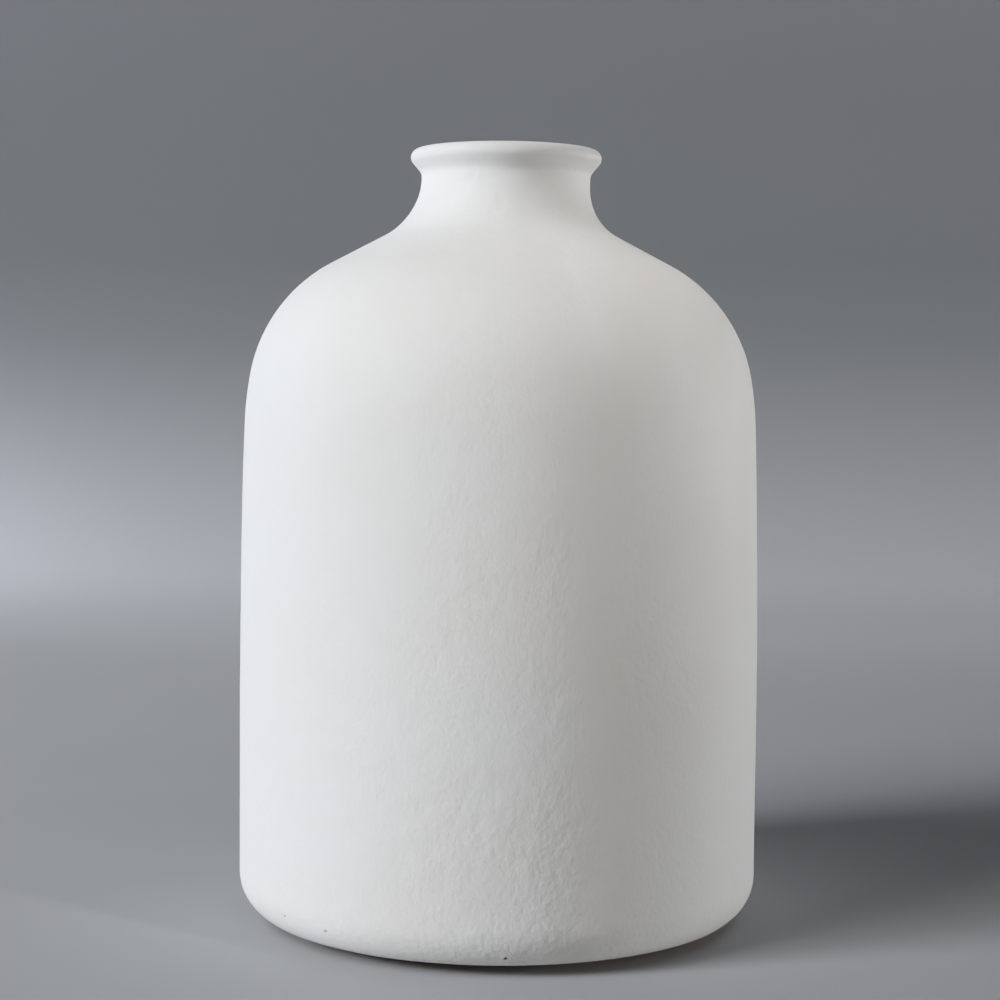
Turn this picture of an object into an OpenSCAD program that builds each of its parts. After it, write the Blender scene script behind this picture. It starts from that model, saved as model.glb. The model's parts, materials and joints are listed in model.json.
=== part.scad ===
// Ceramic bud vase: a bottle-shaped clay body with a matt glaze outside, a
// watertight liner glaze inside, and soft pads stuck under its foot ring.
// Millimetres. +Z is up. The origin is the centre of the footprint, on the table.

/* [Overall] */
// Height from the table to the top of the lip
overall_h = 140.5; // [120:0.5:180]
// Widest diameter of the body, over the glaze
body_d = 95; // [78:0.5:120]

/* [Wall and shoulder] */
// Radius that rounds the wall into the underside
heel_r = 7.5; // [5:0.5:12]
// Radius of the slight barrel curve in the upper wall
barrel_r = 1420; // [900:10:1600]
// Lean of the wall, from upright, where the barrel curve ends
barrel_a = 2; // [1:0.1:2.5]
// Radius of the gentle turn that starts the shoulder
ease_r = 64; // [50:1:80]
// Lean of the wall where the gentle turn ends
ease_a = 10; // [6:1:14]
// Radius of the shoulder
shoulder_r = 28.5; // [22:0.5:32]
// Lean of the straight slope between shoulder and neck
slope_a = 62; // [55:1:66]

/* [Neck and lip] */
// Diameter of the neck, over the glaze
neck_d = 30.8; // [24:0.2:38]
// Length of the straight neck under the lip
neck_h = 1; // [0.5:0.1:6]
// Radius of the hollow curve from the slope up to the neck
sweep_r = 11.4; // [8:0.1:14]
// How far the lip stands out from the neck
lip_out = 2; // [1.5:0.1:3]
// Radius of the lip's rounded edge
lip_r = 1.5; // [1.2:0.1:2]
// Lean of the lip's underside, from upright
lip_under_a = 41; // [30:1:60]
// Radius of the soft crease between the neck and the lip's underside
crease_r = 1; // [0.5:0.1:2]
// Radius of the lip's inner edge
lip_in_r = 2; // [1:0.1:2.5]
// Radius of the inside curve from the slope up to the throat
throat_sweep_r = 8; // [5:0.5:11]

/* [Clay and glaze] */
// Thickness of the clay wall
wall_t = 3.2; // [2.4:0.1:4.5]
// Thickness of the clay at the neck
neck_wall_t = 3.2; // [2.4:0.1:4.2]
// Thickness of the clay floor
floor_t = 5; // [3.5:0.5:8]
// Radius of the inside corner between wall and floor
corner_r = 9; // [5:0.5:14]
// Thickness of the outer glaze
glaze_t = 0.4; // [0.2:0.05:0.6]
// Thickness of the liner glaze
liner_t = 0.3; // [0.2:0.05:0.6]
// Angle round the heel, down from the wall, at which the outer glaze stops
glaze_stop_a = 62; // [45:1:85]

/* [Foot] */
// Width of the bare ring that the vase stands on
foot_w = 9; // [6:0.5:14]
// Depth of the hollow inside the foot ring
foot_hollow_h = 1.5; // [0.8:0.1:3]
// Bevel on the inner edge of the foot ring
foot_bevel = 0.6; // [0.2:0.1:1]
// Thickness of a foot pad
pad_t = 1; // [0.6:0.1:3]
// Bare ring left on each side of a foot pad
pad_margin = 0.5; // [0.2:0.1:2]
// Bevel on a foot pad's lower edge
pad_bevel = 0.2; // [0.1:0.05:0.3]
// Number of foot pads
pad_count = 3; // [3:1:6]

/* [Hidden] */
$fn = 180;
// The most that a chord may stray from its curve
curve_gap = 0.01;

body_r = body_d / 2;
neck_r = neck_d / 2;
shell_t = glaze_t + wall_t + liner_t;
throat_r = neck_r - glaze_t - neck_wall_t - liner_t;

// Heights of the undersides and the floor
hollow_z = pad_t + foot_hollow_h;
floor_z = hollow_z + floor_t + liner_t;

// Radii of the foot ring
foot_out_r = body_r - heel_r;
foot_in_r = foot_out_r - foot_w;
pad_r = foot_w / 2 - pad_margin;

// Centres of the curves, each as [distance from the axis, height]. The heel is set
// by the pads under it. The lip hangs from the overall height, the crease from the
// straight underside of the lip, the neck from the crease, and the shoulder from the
// straight slope, which touches the curves at both its ends.
heel_c = [body_r - heel_r, pad_t + heel_r];
corner_c = [body_r - shell_t - corner_r, floor_z + corner_r];
lip_c = [neck_r + lip_out - lip_r, overall_h - lip_r];
lip_in_c = [throat_r + lip_in_r, overall_h - lip_in_r];
crease_x = neck_r + crease_r;
crease_c = [
    crease_x,
    lip_c.y + ((crease_x - lip_c.x) * cos(lip_under_a) - lip_r - crease_r) / sin(lip_under_a)
];
sweep_c = [neck_r + sweep_r, crease_c.y - neck_h];
shoulder_x = body_r - barrel_r + (barrel_r - ease_r) * cos(barrel_a) + (ease_r - shoulder_r) * cos(ease_a);
shoulder_c = [shoulder_x, sweep_c.y - slope_rise(sweep_c.x, sweep_r, 0)];
ease_c = shoulder_c - (ease_r - shoulder_r) * [cos(ease_a), sin(ease_a)];
barrel_c = ease_c - (barrel_r - ease_r) * [cos(barrel_a), sin(barrel_a)];
throat_x = throat_r + throat_sweep_r;
throat_c = [throat_x, shoulder_c.y + slope_rise(throat_x, throat_sweep_r, shell_t)];

// How far above the shoulder's centre a hollow curve of radius r, centred x from
// the axis, has its centre when it touches the slope laid in by t
function slope_rise(x, r, t) = (shoulder_r - t + r - (x - shoulder_x) * cos(slope_a)) / sin(slope_a);

// Points on a curve; a curve that runs on from another skips the shared point
function curve(centre, r, from, to, skip = 0) =
    let (count = ceil(abs(to - from) / (2 * acos(1 - curve_gap / r))))
    [
        for (i = [skip:count])
            let (a = from + (to - from) * i / count)
            centre + r * [cos(a), sin(a)]
    ];

function reversed(path) = [for (i = [len(path) - 1:-1:0]) path[i]];

// The wall from the barrel curve to the slope, laid in by t from the finished outside
function wall_path(t) = concat(
    curve(barrel_c, barrel_r - t, 0, barrel_a),
    curve(ease_c, ease_r - t, barrel_a, ease_a, 1),
    curve(shoulder_c, shoulder_r - t, ease_a, slope_a, 1)
);

// The outside from the glaze's lower edge to the lip, laid in by t
function outside_path(t, skip = 0) = concat(
    curve(heel_c, heel_r - t, -glaze_stop_a, 0, skip),
    wall_path(t),
    curve(sweep_c, sweep_r + t, 180 + slope_a, 180),
    curve(crease_c, crease_r + t, 180, 180 - lip_under_a),
    curve(lip_c, lip_r - t, -lip_under_a, 90)
);

// The inside from the floor to the lip, cut back by t behind the finished surface
function inside_path(t) = concat(
    [[0, floor_z - t]],
    curve(corner_c, corner_r + t, -90, 0),
    wall_path(shell_t - t),
    curve(throat_c, throat_sweep_r - t, 180 + slope_a, 180),
    curve(lip_in_c, lip_in_r - t, 180, 90)
);

// The underside from the centre to the foot ring's inner edge
function underside_path() = [
    [0, hollow_z],
    [foot_in_r - foot_bevel, hollow_z],
    [foot_in_r - foot_bevel, pad_t + foot_bevel],
    [foot_in_r, pad_t]
];

// The bare clay from the foot ring's outer edge up the heel to the glaze
function bare_heel_path() = concat(
    [[foot_out_r, pad_t]],
    curve(heel_c, heel_r - glaze_t, -90, -glaze_stop_a)
);

// Fired clay shell: foot ring, wall, shoulder, neck and lip in one
module clay_body() {
    color("#cdbba6")
        rotate_extrude()
            polygon(concat(
                underside_path(),
                bare_heel_path(),
                outside_path(glaze_t, 1),
                reversed(inside_path(liner_t))
            ));
}

// Matt white glaze from the heel up to the top of the lip
module outer_glaze() {
    color("#e4e3de")
        rotate_extrude()
            polygon(concat(
                outside_path(0),
                [[lip_in_c.x, overall_h], [lip_in_c.x, overall_h - liner_t]],
                reversed(outside_path(glaze_t))
            ));
}

// Liner glaze that makes the inside hold water
module liner_glaze() {
    color("#d9dcda")
        rotate_extrude()
            polygon(concat(inside_path(liner_t), reversed(inside_path(0))));
}

// Round soft pads, evenly spaced along the middle of the foot ring
module foot_pads() {
    color("#b9b4aa")
        for (i = [0:pad_count - 1])
            rotate(90 + i * 360 / pad_count)
                translate([foot_out_r - foot_w / 2, 0, 0])
                    rotate_extrude()
                        polygon([
                            [0, 0],
                            [pad_r - pad_bevel, 0],
                            [pad_r, pad_bevel],
                            [pad_r, pad_t],
                            [0, pad_t]
                        ]);
}

clay_body();
outer_glaze();
liner_glaze();
foot_pads();
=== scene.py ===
"""Looks of a bottle-shaped ceramic bud vase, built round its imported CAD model.

Each layer of the vase is the section of its own CAD node, turned again on a finer
wheel. Each visible side then gets its own relief: dabbed glaze, trimmed clay, thrown
rings inside. All layers take the same slight lean of a hand-finished pot.
"""

import json
import math

import bmesh
import bpy
from mathutils import Matrix, Vector, kdtree, noise


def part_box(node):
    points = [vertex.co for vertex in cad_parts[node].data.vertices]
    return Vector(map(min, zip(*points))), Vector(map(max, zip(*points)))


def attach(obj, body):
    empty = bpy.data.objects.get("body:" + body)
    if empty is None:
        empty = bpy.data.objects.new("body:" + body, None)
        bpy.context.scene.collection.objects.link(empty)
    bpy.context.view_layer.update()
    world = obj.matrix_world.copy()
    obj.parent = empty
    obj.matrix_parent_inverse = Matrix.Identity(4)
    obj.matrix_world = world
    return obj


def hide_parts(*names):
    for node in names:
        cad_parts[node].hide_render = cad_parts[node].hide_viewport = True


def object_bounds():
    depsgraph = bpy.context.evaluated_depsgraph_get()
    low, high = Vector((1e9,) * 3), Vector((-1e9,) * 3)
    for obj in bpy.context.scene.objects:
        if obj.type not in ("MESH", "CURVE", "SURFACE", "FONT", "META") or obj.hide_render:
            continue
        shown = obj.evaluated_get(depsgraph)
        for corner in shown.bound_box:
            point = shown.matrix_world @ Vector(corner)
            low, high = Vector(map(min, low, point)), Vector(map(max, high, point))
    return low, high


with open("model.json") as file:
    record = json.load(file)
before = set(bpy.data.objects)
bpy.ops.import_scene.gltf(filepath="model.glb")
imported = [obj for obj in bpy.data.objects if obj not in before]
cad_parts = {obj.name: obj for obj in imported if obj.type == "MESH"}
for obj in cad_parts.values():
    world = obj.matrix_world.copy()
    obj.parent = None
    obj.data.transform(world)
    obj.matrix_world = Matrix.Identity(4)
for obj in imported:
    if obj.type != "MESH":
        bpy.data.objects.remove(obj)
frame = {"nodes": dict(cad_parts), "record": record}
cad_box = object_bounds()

MM = 0.001
BODY = "root"
AXIS = (0, 0, 1)

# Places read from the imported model
LIP_TOP = cad_box[1].z
GLAZE_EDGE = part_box("outer_glaze")[0].z
BODY_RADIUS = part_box("outer_glaze")[1].x
FOOT_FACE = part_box("clay_body")[0].z
PAD_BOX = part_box("foot_pads")
MOUTH = next(m for m in frame["record"]["mounts"] if m["name"] == "mouth")
THROAT_RADIUS = MOUTH["dims"]["r_mm"] * MM

# Points closer than this are one point
WELD = 0.001 * MM


def smoothstep(share):
    """0 below 0, 1 above 1, and an even S between."""
    share = min(max(share, 0.0), 1.0)
    return share * share * (3 - 2 * share)


# ------------------------------------------------------------ turning a CAD section

TRUE_LINE = math.radians(0.05)
HIDDEN_BEND = math.radians(6)
TOUCHING = 10 * WELD


def outline(node):
    """A CAD node's outline to one side of its axis, as a wire of its true corners."""
    bm = bmesh.new()
    bm.from_mesh(frame["nodes"][node].data)
    bmesh.ops.remove_doubles(bm, verts=bm.verts, dist=WELD)
    for normal, both_sides in (((0, 1, 0), True), ((-1, 0, 0), False)):
        bmesh.ops.bisect_plane(
            bm,
            geom=bm.verts[:] + bm.edges[:] + bm.faces[:],
            dist=WELD,
            plane_co=(0, 0, 0),
            plane_no=normal,
            clear_outer=True,
            clear_inner=both_sides,
        )
    bmesh.ops.remove_doubles(bm, verts=bm.verts, dist=WELD)
    bmesh.ops.dissolve_limit(bm, angle_limit=TRUE_LINE, verts=bm.verts, edges=bm.edges)
    return bm


def corner_finder(nodes):
    """A search tree of every corner in the outlines of those CAD nodes."""
    corners = []
    for node in nodes:
        bm = outline(node)
        corners += [v.co.copy() for v in bm.verts]
        bm.free()
    tree = kdtree.KDTree(len(corners))
    for index, corner in enumerate(corners):
        tree.insert(corner, index)
    tree.balance()
    return tree


def fine_section(node, step, under):
    """A node's outline cut to edges of at most step, thinned where it lies on others.

    The vertex layer "shown" is 1 on the side that shows and 0 on the hidden one.
    """
    bm = outline(node)
    shown = bm.verts.layers.float.new("shown")
    tree = corner_finder(under)
    for v in bm.verts:
        v[shown] = float(tree.find(v.co)[2] > TOUCHING)
    hidden = [v for v in bm.verts if not v[shown]]
    seams = [e for e in bm.edges if not any(v[shown] for v in e.verts)]
    bmesh.ops.dissolve_limit(bm, angle_limit=HIDDEN_BEND, verts=hidden, edges=seams)
    for edge in bm.edges[:]:
        cuts = math.ceil(edge.calc_length() / step) - 1
        if cuts > 0 and any(v[shown] for v in edge.verts):
            bmesh.ops.subdivide_edges(bm, edges=[edge], cuts=cuts)
    return bm


def turned(node, step, segments, under):
    """A CAD node's fine section spun once round the axis, welded and facing out."""
    bm = fine_section(node, step, under)
    for v in bm.verts:
        v.co.y = 0
    bmesh.ops.spin(
        bm,
        geom=bm.verts[:] + bm.edges[:],
        cent=(0, 0, 0),
        axis=AXIS,
        dvec=(0, 0, 0),
        angle=2 * math.pi,
        space=Matrix.Identity(4),
        steps=segments,
        use_merge=True,
        use_normal_flip=False,
        use_duplicate=False,
    )
    bmesh.ops.remove_doubles(bm, verts=bm.verts, dist=WELD)
    bmesh.ops.recalc_face_normals(bm, faces=bm.faces)
    bm.normal_update()
    return bm


# ------------------------------------------------------------ the marks of the hand

# Sideways move for each metre of height, and the neck's own move above a height
LEAN = -0.0023
NECK_SHIFT = 0.73 * MM
NECK_SHIFT_FROM = 124.7 * MM
NECK_SHIFT_OVER = 12 * MM


def lean(bm):
    """Moves every point as the real pot leaves true: a slight lean, a neck set back."""
    for v in bm.verts:
        neck = smoothstep((v.co.z - NECK_SHIFT_FROM) / NECK_SHIFT_OVER)
        v.co.x += LEAN * v.co.z + NECK_SHIFT * neck


def raise_relief(bm, height):
    """Moves each shown point along its normal by what height(place) gives."""
    shown = bm.verts.layers.float["shown"]
    moves = [(v, v.normal * height(v.co)) for v in bm.verts if v[shown] == 1]
    for v, move in moves:
        v.co += move
    bm.normal_update()


def finish_piece(name, bm, material, node, sharp=180):
    """Makes the object, hangs it on its body with its finish, and hides the CAD node it
    replaces.

    Edges that turn by sharp degrees or more are shaded as corners.
    """
    shown = bm.verts.layers.float.get("shown")
    if shown is not None:
        bm.verts.layers.float.remove(shown)
    mesh = bpy.data.meshes.new(name)
    for face in bm.faces:
        face.smooth = True
    for edge in bm.edges:
        edge.smooth = not edge.is_manifold or edge.calc_face_angle() < math.radians(sharp)
    bm.to_mesh(mesh)
    bm.free()
    mesh.materials.append(material)
    piece = bpy.data.objects.new(name, mesh)
    bpy.context.collection.objects.link(piece)
    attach(piece, BODY)
    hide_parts(node)
    return piece


# ------------------------------------------------------------ materials

# Most of a noise texture's values lie between these two
LOW = 0.3
HIGH = 0.7

# The refractive index of glaze, clay, paint and wool, near enough
COMMON_IOR = 1.5


def colour(code):
    """An sRGB hex colour such as "#f0ede6" as linear red, green, blue and alpha."""
    parts = [int(code[i:i + 2], 16) / 255 for i in (1, 3, 5)]
    return (*[p / 12.92 if p <= 0.04045 else ((p + 0.055) / 1.055) ** 2.4 for p in parts], 1)


def add(tree, kind, inputs=None, **settings):
    """A shader node of that kind, with its settings, and its inputs set or linked."""
    made = tree.nodes.new("ShaderNode" + kind)
    for name, value in settings.items():
        setattr(made, name, value)
    for socket, value in (inputs or {}).items():
        if isinstance(value, bpy.types.NodeSocket):
            tree.links.new(value, made.inputs[socket])
        else:
            made.inputs[socket].default_value = value
    return made


def new_material(name):
    """An empty material's node tree, and the material."""
    material = bpy.data.materials.new(name)
    material.use_nodes = True
    material.node_tree.nodes.clear()
    return material, material.node_tree


def close_material(tree, inputs):
    """Ends a material with the surface shader that has those inputs."""
    surface = add(tree, "BsdfPrincipled", inputs)
    add(tree, "OutputMaterial", {"Surface": surface.outputs["BSDF"]})


def object_place(tree, stretch=(1, 1, 1)):
    """Object coordinates in metres, scaled per axis."""
    place = add(tree, "TexCoord").outputs["Object"]
    return add(tree, "Mapping", {"Vector": place, "Scale": stretch}).outputs["Vector"]


def per_mm(size):
    """The texture scale at which one cell of a pattern is that many millimetres."""
    return 1 / (size * MM)


def ramp(tree, value, stops):
    """A colour ramp through (place, hex colour) stops."""
    made = add(tree, "ValToRGB", {"Fac": value})
    elements = made.color_ramp.elements
    while len(elements) < len(stops):
        elements.new(1)
    for element, (place, code) in zip(elements, stops):
        element.position = place
        element.color = colour(code)
    return made.outputs["Color"]


def grain(tree, place, size, detail=2, roughness=0.5):
    """Noise from 0 to 1 whose cells are size millimetres across."""
    made = add(tree, "TexNoise", {
        "Vector": place,
        "Scale": per_mm(size),
        "Detail": detail,
        "Roughness": roughness,
    })
    return made.outputs["Fac"]


def between(tree, value, low, high, to_low=0.0, to_high=1.0):
    """value taken from low..high to to_low..to_high, and held there outside it."""
    made = add(tree, "MapRange", {
        "Value": value,
        "From Min": low,
        "From Max": high,
        "To Min": to_low,
        "To Max": to_high,
    })
    return made.outputs["Result"]


def mixed(tree, share, first, second):
    """Two colours mixed by share. The mix node's colour sockets go by number."""
    made = add(tree, "Mix", {0: share, 6: first, 7: second}, data_type="RGBA")
    return made.outputs[2]


def raised(tree, height, depth, under=None):
    """A bump of that depth in millimetres, laid over the one under it."""
    inputs = {"Height": height, "Strength": 1.0, "Distance": depth * MM}
    if under:
        inputs["Normal"] = under
    return add(tree, "Bump", inputs).outputs["Normal"]


# Sizes and depths of the patterns are in millimetres
GLAZE_POOLING = 26
DAB_SIZE = 0.9
DAB_DRAW = (1, 1, 0.78)
DAB_BUMP = 0.095
CHALK_SIZE = 0.4
CHALK_BUMP = 0.012


def matt_white_glaze():
    """Sprayed zircon-white matt glaze: a dry, chalky white with fine close dabs.

    It goes very slightly from warm to cool white, and from duller to smoother, where
    it lies thicker. The attribute "dabs" sets the dabs' strength, and "pit" how far
    the pinholes are painted darker, so that they read as dark dots.
    """
    material, tree = new_material("matt_white_glaze")
    place = object_place(tree)
    pooling = grain(tree, place, GLAZE_POOLING, detail=3)
    white = ramp(tree, pooling, ((LOW, "#efeeeb"), (HIGH, "#f1f1f0")))
    pits = add(tree, "Attribute", attribute_name="pit").outputs["Fac"]
    dabs = grain(tree, object_place(tree, DAB_DRAW), DAB_SIZE, detail=1)
    strength = add(tree, "Attribute", attribute_name="dabs").outputs["Fac"]
    height = add(tree, "Math", {0: dabs, 1: strength}, operation="MULTIPLY").outputs["Value"]
    dabbed = raised(tree, height, DAB_BUMP)
    close_material(tree, {
        # The pinholes are painted towards a near-black, as far as "pit" says
        "Base Color": mixed(tree, pits, white, colour("#171412")),
        "Roughness": between(tree, pooling, LOW, HIGH, 0.68, 0.6),
        "IOR": COMMON_IOR,
        "Diffuse Roughness": 0.5,
        "Specular IOR Level": 0.35,
        "Normal": raised(tree, grain(tree, place, CHALK_SIZE), CHALK_BUMP, dabbed),
    })
    return material


LINER_POOLING = 14
LINER_WAVE = 2.5
LINER_BUMP = 0.02


def satin_liner_glaze():
    """Poured satin white liner: a warmer white with a soft sheen, smooth to the eye."""
    material, tree = new_material("satin_liner_glaze")
    place = object_place(tree)
    pooling = grain(tree, place, LINER_POOLING)
    close_material(tree, {
        "Base Color": ramp(tree, pooling, ((LOW, "#e6e1d8"), (HIGH, "#efece5"))),
        "Roughness": between(tree, pooling, LOW, HIGH, 0.36, 0.3),
        "IOR": COMMON_IOR,
        "Normal": raised(tree, grain(tree, place, LINER_WAVE, detail=1), LINER_BUMP),
    })
    return material


CLAY_CLOUD = 9
GROG_SPACING = 1.1
IRON_SPACING = 3.2
CLAY_GRAIN = 0.4
CLAY_BUMP = 0.03


def bare_clay():
    """Biscuit-coloured stoneware, trimmed and wiped: dry, with grog and iron specks."""
    material, tree = new_material("bare_clay")
    place = object_place(tree)
    clouds = grain(tree, place, CLAY_CLOUD, detail=4)
    body = ramp(tree, clouds, ((LOW, "#d2c0b0"), (HIGH, "#dfd0c2")))
    grog = add(tree, "TexVoronoi", {"Vector": place, "Scale": per_mm(GROG_SPACING)})
    pale = mixed(
        tree,
        between(tree, grog.outputs["Distance"], 0.1, 0.3, 0.55, 0.0),
        body,
        colour("#ece0d2"),
    )
    iron = add(tree, "TexVoronoi", {"Vector": place, "Scale": per_mm(IRON_SPACING)})
    specked = mixed(
        tree,
        between(tree, iron.outputs["Distance"], 0.04, 0.09, 0.8, 0.0),
        pale,
        colour("#6d5140"),
    )
    dry = grain(tree, place, CLAY_GRAIN, detail=3, roughness=0.65)
    close_material(tree, {
        "Base Color": specked,
        "Roughness": between(tree, grog.outputs["Distance"], 0.1, 0.5, 0.78, 0.9),
        "IOR": COMMON_IOR,
        "Diffuse Roughness": 0.8,
        "Specular IOR Level": 0.3,
        "Normal": raised(tree, dry, CLAY_BUMP),
    })
    return material


FIBRE_SIZE = 0.5
FIBRE_BUMP = 0.12


def pad_felt():
    """Pressed grey wool felt, stamped into discs: matted fibres and a faint halo. Its grey
    is made dark partly as painted shade, so that the gap under the foot reads black.
    """
    material, tree = new_material("pad_felt")
    fibres = grain(tree, object_place(tree), FIBRE_SIZE, detail=4, roughness=0.7)
    close_material(tree, {
        # The felt's own grey, darkened partly as painted shade for the gap under the foot
        "Base Color": ramp(tree, fibres, ((LOW, "#4c4b49"), (HIGH, "#7d7b77"))),
        "Roughness": 0.95,
        "IOR": COMMON_IOR,
        "Sheen Weight": 0.4,
        "Sheen Roughness": 0.5,
        "Normal": raised(tree, fibres, FIBRE_BUMP),
    })
    return material


# Tones along the board: from the front, under the vase, to the bend and up the wall.
# They are painted light and painted shade for the lamps' falloff: paler behind the vase
# and in the bend, darker up the wall.
BOARD_SPAN = (-0.4, 1.2)
BOARD_PAINTED_FALLOFF = (
    (0.25, "#bbbdc0"),
    (0.37, "#cbcdd0"),
    (0.50, "#d2d4d7"),
    (0.61, "#c7c9cc"),
    (0.70, "#a9abae"),
    (0.77, "#8a8d90"),
    (0.81, "#828588"),
    (0.91, "#8a8c90"),
)


def falloff_painted_board():
    """Matt painted board, pale on the floor, with painted light towards the bend and
    painted shade darker up the wall.
    """
    material, tree = new_material("falloff_painted_board")
    place = add(tree, "SeparateXYZ", {"Vector": object_place(tree)})
    along = add(tree, "Math", {0: place.outputs["Y"], 1: place.outputs["Z"]}, operation="ADD")
    # Painted light paler behind the vase and in the bend, painted shade darker up the wall
    painted_falloff = ramp(tree, between(tree, along.outputs["Value"], *BOARD_SPAN), BOARD_PAINTED_FALLOFF)
    close_material(tree, {
        "Base Color": painted_falloff,
        "Roughness": 0.7,
        "IOR": COMMON_IOR,
        "Specular IOR Level": 0.3,
    })
    return material


# ------------------------------------------------------------ the glazed outside

GLAZE_STEP = 0.92 * MM
GLAZE_SEGMENTS = 372

# Relief of the glaze: dimples that lean a little, on wider drags, on the wall's slow
# swell. The twist is in radians for each metre of height.
DIMPLE_WIDTH = 1.7 * MM
DIMPLE_DEPTH = 0.08 * MM
DRAG_WIDTH = 4.2 * MM
DRAG_DEPTH = 0.05 * MM
DRAG_OFFSET = Vector((7, 3, 5))
UPRIGHT_STRETCH = 1.1
DRAG_TWIST = 6.0
WALL_SWELL = 0.12 * MM
WALL_SWELL_LENGTH = 34 * MM

# Where the relief is strong: below a height, on one side, in patches, not on the lip
CALM_ABOVE = 0.7 * LIP_TOP
CALM_SHARE = 0.55
HEAVY_SIDE = Vector((-0.05, -1, 0)).normalized()
HEAVY_FROM = 0.5
LIGHT_SIDE_SHARE = 0.35
PATCH_SIZE = 15 * MM
PATCH_CHANGE = 0.55
LIP_CALM_FROM = LIP_TOP - 4 * MM
LIP_CALM_OVER = 3 * MM
EDGE_CALM_OVER = 1.5 * MM

# The edge on the heel: rounded by the melt, and not quite level all the way round
GLAZE_STOP = math.radians(62)
HEEL_RADIUS = (GLAZE_EDGE - FOOT_FACE) / (1 - math.sin(GLAZE_STOP))
HEEL_CENTRE = Vector((BODY_RADIUS - HEEL_RADIUS, 0, FOOT_FACE + HEEL_RADIUS))
EDGE_BEAD = 0.28 * MM
EDGE_CORNER = math.radians(60)
EDGE_WAVER = math.radians(2.2)
EDGE_WAVE = 14 * MM
EDGE_REACH = 4 * MM

# Pinholes: degrees round from the front, height and radius in millimetres, and how
# dark they are painted. The depth is a share of the radius, and so is the flat of the floor.
PINHOLES = (
    (1.8, 3.0, 0.42, 1.0),
    (-50.5, 6.2, 0.36, 0.3),
    (-38, 5.5, 0.36, 0.35),
    (131, 24, 0.3, 0.5),
    (84, 71, 0.28, 0.3),
)
PINHOLE_DEPTH = 0.7
PINHOLE_FLAT = 0.35
PINHOLE_REACH = 1.3 * MM
PINHOLE_CUTS = 6

# The crease under the lip, where the glaze pools and softens the corner
CREASE = (LIP_TOP - 7.2 * MM, LIP_TOP - 3.4 * MM)
CREASE_OUTSIDE = THROAT_RADIUS + 2 * MM
CREASE_PASSES = 10


def dab_share(place):
    """How strong the spray's dabs are: heaviest low down and on one side, in patches."""
    lower = 1.0 - (1.0 - CALM_SHARE) * smoothstep(place.z / CALM_ABOVE)
    facing = HEAVY_SIDE.dot(Vector((place.x, place.y, 0)).normalized())
    heavy = smoothstep((facing - HEAVY_FROM) / (1.0 - HEAVY_FROM))
    sided = LIGHT_SIDE_SHARE + (1.0 - LIGHT_SIDE_SHARE) * heavy
    return lower * sided * (1.0 + PATCH_CHANGE * noise.noise(place / PATCH_SIZE))


def glaze_relief(place):
    """The wider dabs of the sprayed glaze, on the slow swell of the thrown wall."""
    leaning = Matrix.Rotation(DRAG_TWIST * place.z, 3, "Z") @ place
    leaning.z *= UPRIGHT_STRETCH
    lip = 1.0 - smoothstep((place.z - LIP_CALM_FROM) / LIP_CALM_OVER)
    edge = smoothstep((place.z - GLAZE_EDGE) / EDGE_CALM_OVER)
    dimples = DIMPLE_DEPTH * noise.noise(leaning / DIMPLE_WIDTH)
    drags = DRAG_DEPTH * noise.noise(leaning / DRAG_WIDTH + DRAG_OFFSET)
    swell = WALL_SWELL * noise.noise(place / WALL_SWELL_LENGTH)
    return ((dimples + drags) * dab_share(place) + swell) * lip * edge


def round_glaze_edge(bm):
    """Rounds the glaze's lower corner into a bead, and lets the edge wander."""
    shown = bm.verts.layers.float["shown"]
    corner = [
        e for e in bm.edges
        if e.calc_face_angle(0) > EDGE_CORNER
        and all(v[shown] == 1 and v.co.z < GLAZE_EDGE + EDGE_REACH for v in e.verts)
    ]
    bmesh.ops.bevel(
        bm, geom=corner, offset=EDGE_BEAD, segments=4, profile=0.5, affect="EDGES", material=-1
    )
    for v in bm.verts:
        near = 1 - smoothstep((v.co.z - GLAZE_EDGE) / EDGE_REACH)
        if near == 0:
            continue
        round_axis = Vector((v.co.x, v.co.y, 0)).normalized()
        centre = round_axis * HEEL_CENTRE.x + Vector((0, 0, HEEL_CENTRE.z))
        wander = EDGE_WAVER * near * noise.noise(round_axis * BODY_RADIUS / EDGE_WAVE)
        turn = Matrix.Rotation(wander, 3, round_axis.cross(AXIS))
        v.co = centre + turn @ (v.co - centre)
    bm.normal_update()


def pool_in_crease(bm):
    """Softens the corner under the lip, as glaze that ran into it does."""
    shown = bm.verts.layers.float["shown"]
    crease = [
        v for v in bm.verts
        if v[shown] == 1
        and CREASE[0] < v.co.z < CREASE[1]
        and math.hypot(v.co.x, v.co.y) > CREASE_OUTSIDE
    ]
    for _ in range(CREASE_PASSES):
        bmesh.ops.smooth_vert(
            bm, verts=crease, factor=0.5, use_axis_x=True, use_axis_y=True, use_axis_z=True
        )
    bm.normal_update()


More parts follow.
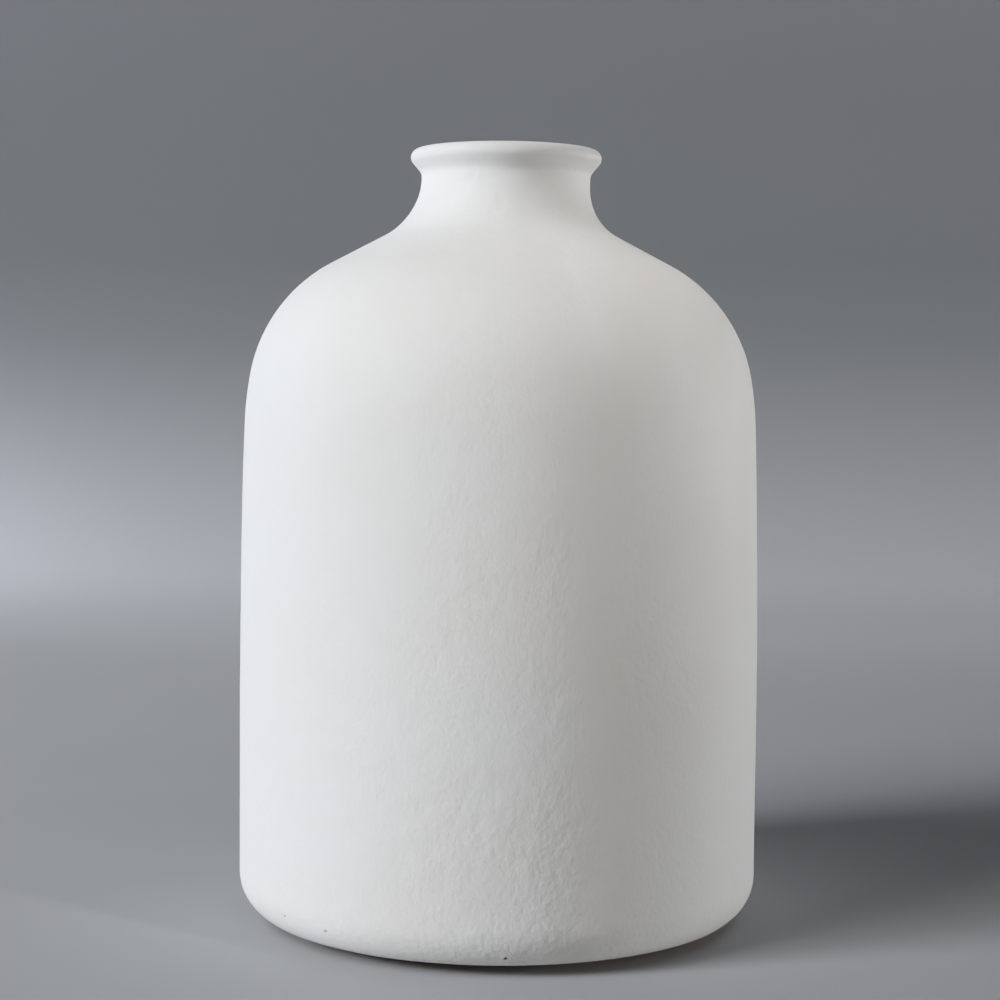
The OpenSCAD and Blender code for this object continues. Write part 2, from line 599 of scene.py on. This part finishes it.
def press_pinholes(bm):
    """Sinks the few pinholes that the glaze kept, and marks how dark each is painted."""
    shown = bm.verts.layers.float["shown"]
    pit = bm.verts.layers.float.new("pit")
    for turn, height, radius, darkening in PINHOLES:
        ahead = Matrix.Rotation(math.radians(turn), 3, "Z") @ Vector((0, -1, 0))
        aim = ahead * BODY_RADIUS + Vector((0, 0, height * MM))
        front = [v for v in bm.verts if v[shown] == 1]
        centre = min(front, key=lambda v: (v.co - aim).length).co.copy()
        near = {v for v in front if (v.co - centre).length < PINHOLE_REACH}
        edges = [e for e in bm.edges if near.intersection(e.verts)]
        bmesh.ops.subdivide_edges(bm, edges=edges, cuts=PINHOLE_CUTS, use_grid_fill=True)
        bm.normal_update()
        for v in bm.verts:
            out = (v.co - centre).length / (radius * MM)
            depth = 1 - smoothstep((out - PINHOLE_FLAT) / (1 - PINHOLE_FLAT))
            if depth > 0 and v[shown] == 1:
                # The deeper into a pinhole, the darker it is painted
                v[pit] = depth * darkening
                v.co -= v.normal * depth * PINHOLE_DEPTH * radius * MM
    ragged = [f for f in bm.faces if len(f.verts) > 4]
    bmesh.ops.triangulate(bm, faces=ragged)
    bm.normal_update()


def mark_dabs(bm):
    """Writes the dabs' strength at each point, for the material to read."""
    dabs = bm.verts.layers.float.new("dabs")
    for v in bm.verts:
        v[dabs] = dab_share(v.co)


def make_glaze():
    """The matt glaze coat, from its rounded edge on the heel to inside the lip."""
    bm = turned("outer_glaze", GLAZE_STEP, GLAZE_SEGMENTS, under=["clay_body"])
    pool_in_crease(bm)
    mark_dabs(bm)
    raise_relief(bm, glaze_relief)
    round_glaze_edge(bm)
    press_pinholes(bm)
    lean(bm)
    return finish_piece(
        "matt_glaze_coat", bm, matt_white_glaze(), "outer_glaze", 50
    )


# ------------------------------------------------------------ the clay under it

CLAY_STEP = 0.5 * MM
CLAY_SEGMENTS = 256
TRIM_PITCH = 0.9 * MM
TRIM_DEPTH = 0.035 * MM
TRIM_DRIFT = 4 * MM


def trim_relief(place):
    """Fine rings that the trimming tool leaves under the foot."""
    radius = math.hypot(place.x, place.y)
    drift = noise.noise(Vector((radius, 0, 0)) / TRIM_DRIFT)
    return TRIM_DEPTH * drift * math.sin(2 * math.pi * radius / TRIM_PITCH)


def make_clay():
    """The stoneware body, which shows at the heel, the foot ring and underneath."""
    bm = turned("clay_body", CLAY_STEP, CLAY_SEGMENTS, under=["outer_glaze", "liner_glaze"])
    raise_relief(bm, trim_relief)
    lean(bm)
    return finish_piece("stoneware_body", bm, bare_clay(), "clay_body", 40)


# ------------------------------------------------------------ the liner

LINER_STEP = 1.2 * MM
LINER_SEGMENTS = 192
THROWN_PITCH = 7 * MM
THROWN_DEPTH = 0.2 * MM
THROWN_BELOW = 22 * MM


def thrown_relief(place):
    """Soft rings that the thrower's fingers leave inside, gone in the throat."""
    below = smoothstep((LIP_TOP - THROWN_BELOW - place.z) / THROWN_BELOW)
    turn = math.atan2(place.y, place.x)
    return below * THROWN_DEPTH * math.sin(2 * math.pi * place.z / THROWN_PITCH + turn)


def make_liner():
    """The satin glaze inside, from the lip down the throat and round the chamber."""
    bm = turned("liner_glaze", LINER_STEP, LINER_SEGMENTS, under=["clay_body"])
    raise_relief(bm, thrown_relief)
    lean(bm)
    return finish_piece(
        "satin_liner", bm, satin_liner_glaze(), "liner_glaze", 60
    )


# ------------------------------------------------------------ felt pads

# One pad stands on +Y, and the two others lie half as far behind the axis as it lies
# in front, so the two ends of the box in Y add up to half of the ring's radius
PAD_RING = 2 * (PAD_BOX[1].y + PAD_BOX[0].y)
PAD_RADIUS = PAD_BOX[1].y - PAD_RING
PAD_COUNT = 3
PAD_SEGMENTS = 64
PAD_ROUNDING = 0.25 * MM
PAD_FACE_RINGS = 8
FELT_FUZZ = 0.05 * MM
FELT_TUFT = 0.8 * MM


def make_pad(number, felt):
    """One stamped felt disc on the foot ring, with a soft edge and a matted face."""
    bm = bmesh.new()
    thickness = PAD_BOX[1].z - PAD_BOX[0].z
    bmesh.ops.create_cone(
        bm,
        cap_ends=True,
        segments=PAD_SEGMENTS,
        radius1=PAD_RADIUS,
        radius2=PAD_RADIUS,
        depth=thickness,
    )
    rims = [e for e in bm.edges if abs(e.verts[0].co.z - e.verts[1].co.z) < WELD]
    bmesh.ops.bevel(
        bm, geom=rims, offset=PAD_ROUNDING, segments=3, profile=0.5, affect="EDGES", material=-1
    )
    for _ in range(PAD_FACE_RINGS):
        caps = [f for f in bm.faces if len(f.verts) == PAD_SEGMENTS]
        bmesh.ops.inset_individual(bm, faces=caps, thickness=PAD_RADIUS / (PAD_FACE_RINGS + 1))
    turn = Matrix.Rotation(number * 2 * math.pi / PAD_COUNT, 4, AXIS)
    place = turn @ Matrix.Translation((0, PAD_RING, PAD_BOX[0].z + thickness / 2))
    bmesh.ops.transform(bm, matrix=place, verts=bm.verts)
    bm.normal_update()
    for v in bm.verts:
        v.co -= v.normal * FELT_FUZZ * (0.5 + noise.noise(v.co / FELT_TUFT))
    return finish_piece(f"felt_pad_{number + 1}", bm, felt, "foot_pads")


# ------------------------------------------------------------ studio

SWEEP_HALF_WIDTH = 1.6
SWEEP_FRONT = -1.6
SWEEP_BACK = 0.75
SWEEP_HEIGHT = 1.6
SWEEP_BEND = 0.25


def make_sweep():
    """The floor and the wall behind it, as one board with a wide bend."""
    bm = bmesh.new()
    corners = [
        (-SWEEP_HALF_WIDTH, SWEEP_FRONT, 0),
        (-SWEEP_HALF_WIDTH, SWEEP_BACK, 0),
        (-SWEEP_HALF_WIDTH, SWEEP_BACK, SWEEP_HEIGHT),
    ]
    verts = [bm.verts.new(c) for c in corners]
    edges = [bm.edges.new(pair) for pair in zip(verts, verts[1:])]
    swept = bmesh.ops.extrude_edge_only(bm, edges=edges)["geom"]
    moved = [g for g in swept if isinstance(g, bmesh.types.BMVert)]
    bmesh.ops.translate(bm, verts=moved, vec=(2 * SWEEP_HALF_WIDTH, 0, 0))
    bend = [e for e in bm.edges if len(e.link_faces) == 2]
    bmesh.ops.bevel(
        bm, geom=bend, offset=SWEEP_BEND, segments=32, profile=0.5, affect="EDGES", material=-1
    )
    for face in bm.faces:
        face.smooth = True
    if max(bm.faces, key=lambda f: f.calc_area()).normal.z < 0:
        bmesh.ops.reverse_faces(bm, faces=bm.faces)
    mesh = bpy.data.meshes.new("studio_sweep")
    bm.to_mesh(mesh)
    bm.free()
    mesh.materials.append(falloff_painted_board())
    sweep = bpy.data.objects.new("studio_sweep", mesh)
    bpy.context.collection.objects.link(sweep)


LIGHT_AIM = Vector((0, 0, 0.07))


def area_light(name, azimuth, elevation, distance, size, power, tint, aim=LIGHT_AIM, spread=180):
    """A square soft light aimed at a point. Azimuth 0 is the camera's side, + is right."""
    data = bpy.data.lights.new(name, "AREA")
    data.shape = "SQUARE"
    data.size = size
    data.energy = power
    data.spread = math.radians(spread)
    data.color = colour(tint)[:3]
    lamp = bpy.data.objects.new(name, data)
    bpy.context.collection.objects.link(lamp)
    turn, rise = math.radians(azimuth), math.radians(elevation)
    away = Vector((
        math.sin(turn) * math.cos(rise),
        -math.cos(turn) * math.cos(rise),
        math.sin(rise),
    ))
    lamp.location = aim + away * distance
    lamp.rotation_euler = away.to_track_quat("Z", "Y").to_euler()
    lamp.visible_camera = False


BOARD_GLOW_AIM = Vector((-0.3, 0.6, 0.02))
WALL_WASH_AIM = Vector((0.24, 0.72, 0.36))
SHOULDER_AIM = Vector((0.015, -0.02, 0.098))


def make_lights():
    """A window-like key from the left, a far low card on the right, and small fills.

    The wash and the glow fall on the board behind, at the right and at the left.
    """
    area_light("key_window", -65, 19, 1.3, 0.3, 9.5, "#f1f6ff")
    area_light("key_front", -48, 33, 1.3, 0.35, 3.6, "#fffefa")
    area_light("key_sky", -58, 45, 1.1, 0.35, 1.9, "#ffffff")
    area_light("side_card", 102, 1.5, 3.0, 0.3, 48, "#fbfdff")
    area_light("room_fill", 25, 5, 1.3, 0.3, 1.2, "#fff2e2")
    area_light("shoulder_snoot", 50, 50, 0.6, 0.06, 0.0042, "#fffaf5", SHOULDER_AIM, 10)
    area_light("wall_wash", 80, 20, 1.0, 0.3, 1.0, "#ffffff", WALL_WASH_AIM, 60)
    area_light("board_glow", -75, 35, 0.4, 0.1, 0.165, "#eef3ff", BOARD_GLOW_AIM, 62)


WORLD_TINT = "#d9dcdf"
WORLD_STRENGTH = 0.02


def make_world():
    """Even dim light from everywhere, as in a white room."""
    world = bpy.data.worlds.new("white_room")
    world.use_nodes = True
    tree = world.node_tree
    tree.nodes.clear()
    glow = add(tree, "Background", {"Color": colour(WORLD_TINT), "Strength": WORLD_STRENGTH})
    add(tree, "OutputWorld", {"Surface": glow.outputs["Background"]})
    bpy.context.scene.world = world


# Degrees below level and round the line of sight, and lens and sensor in millimetres
CAMERA_PLACE = (-0.13 * MM, -383.9 * MM, 99.1 * MM)
CAMERA_DOWN = 3.352
CAMERA_ROLL = 0.562
CAMERA_LENS = 75.12
CAMERA_SENSOR = 36


def make_camera():
    """A short telephoto a little above half height, looking slightly down."""
    data = bpy.data.cameras.new("camera")
    data.lens = CAMERA_LENS
    data.sensor_width = CAMERA_SENSOR
    data.clip_start = 0.01
    data.clip_end = 20
    camera = bpy.data.objects.new("camera", data)
    bpy.context.collection.objects.link(camera)
    tilt = Matrix.Rotation(math.radians(90 - CAMERA_DOWN), 4, "X")
    roll = Matrix.Rotation(math.radians(CAMERA_ROLL), 4, "Z")
    camera.matrix_world = Matrix.Translation(CAMERA_PLACE) @ tilt @ roll
    bpy.context.scene.camera = camera


make_camera()
make_clay()
make_glaze()
make_liner()
felt = pad_felt()
for number in range(PAD_COUNT):
    make_pad(number, felt)
make_sweep()
make_world()
make_lights()
bpy.context.scene.view_settings.view_transform = "Standard"
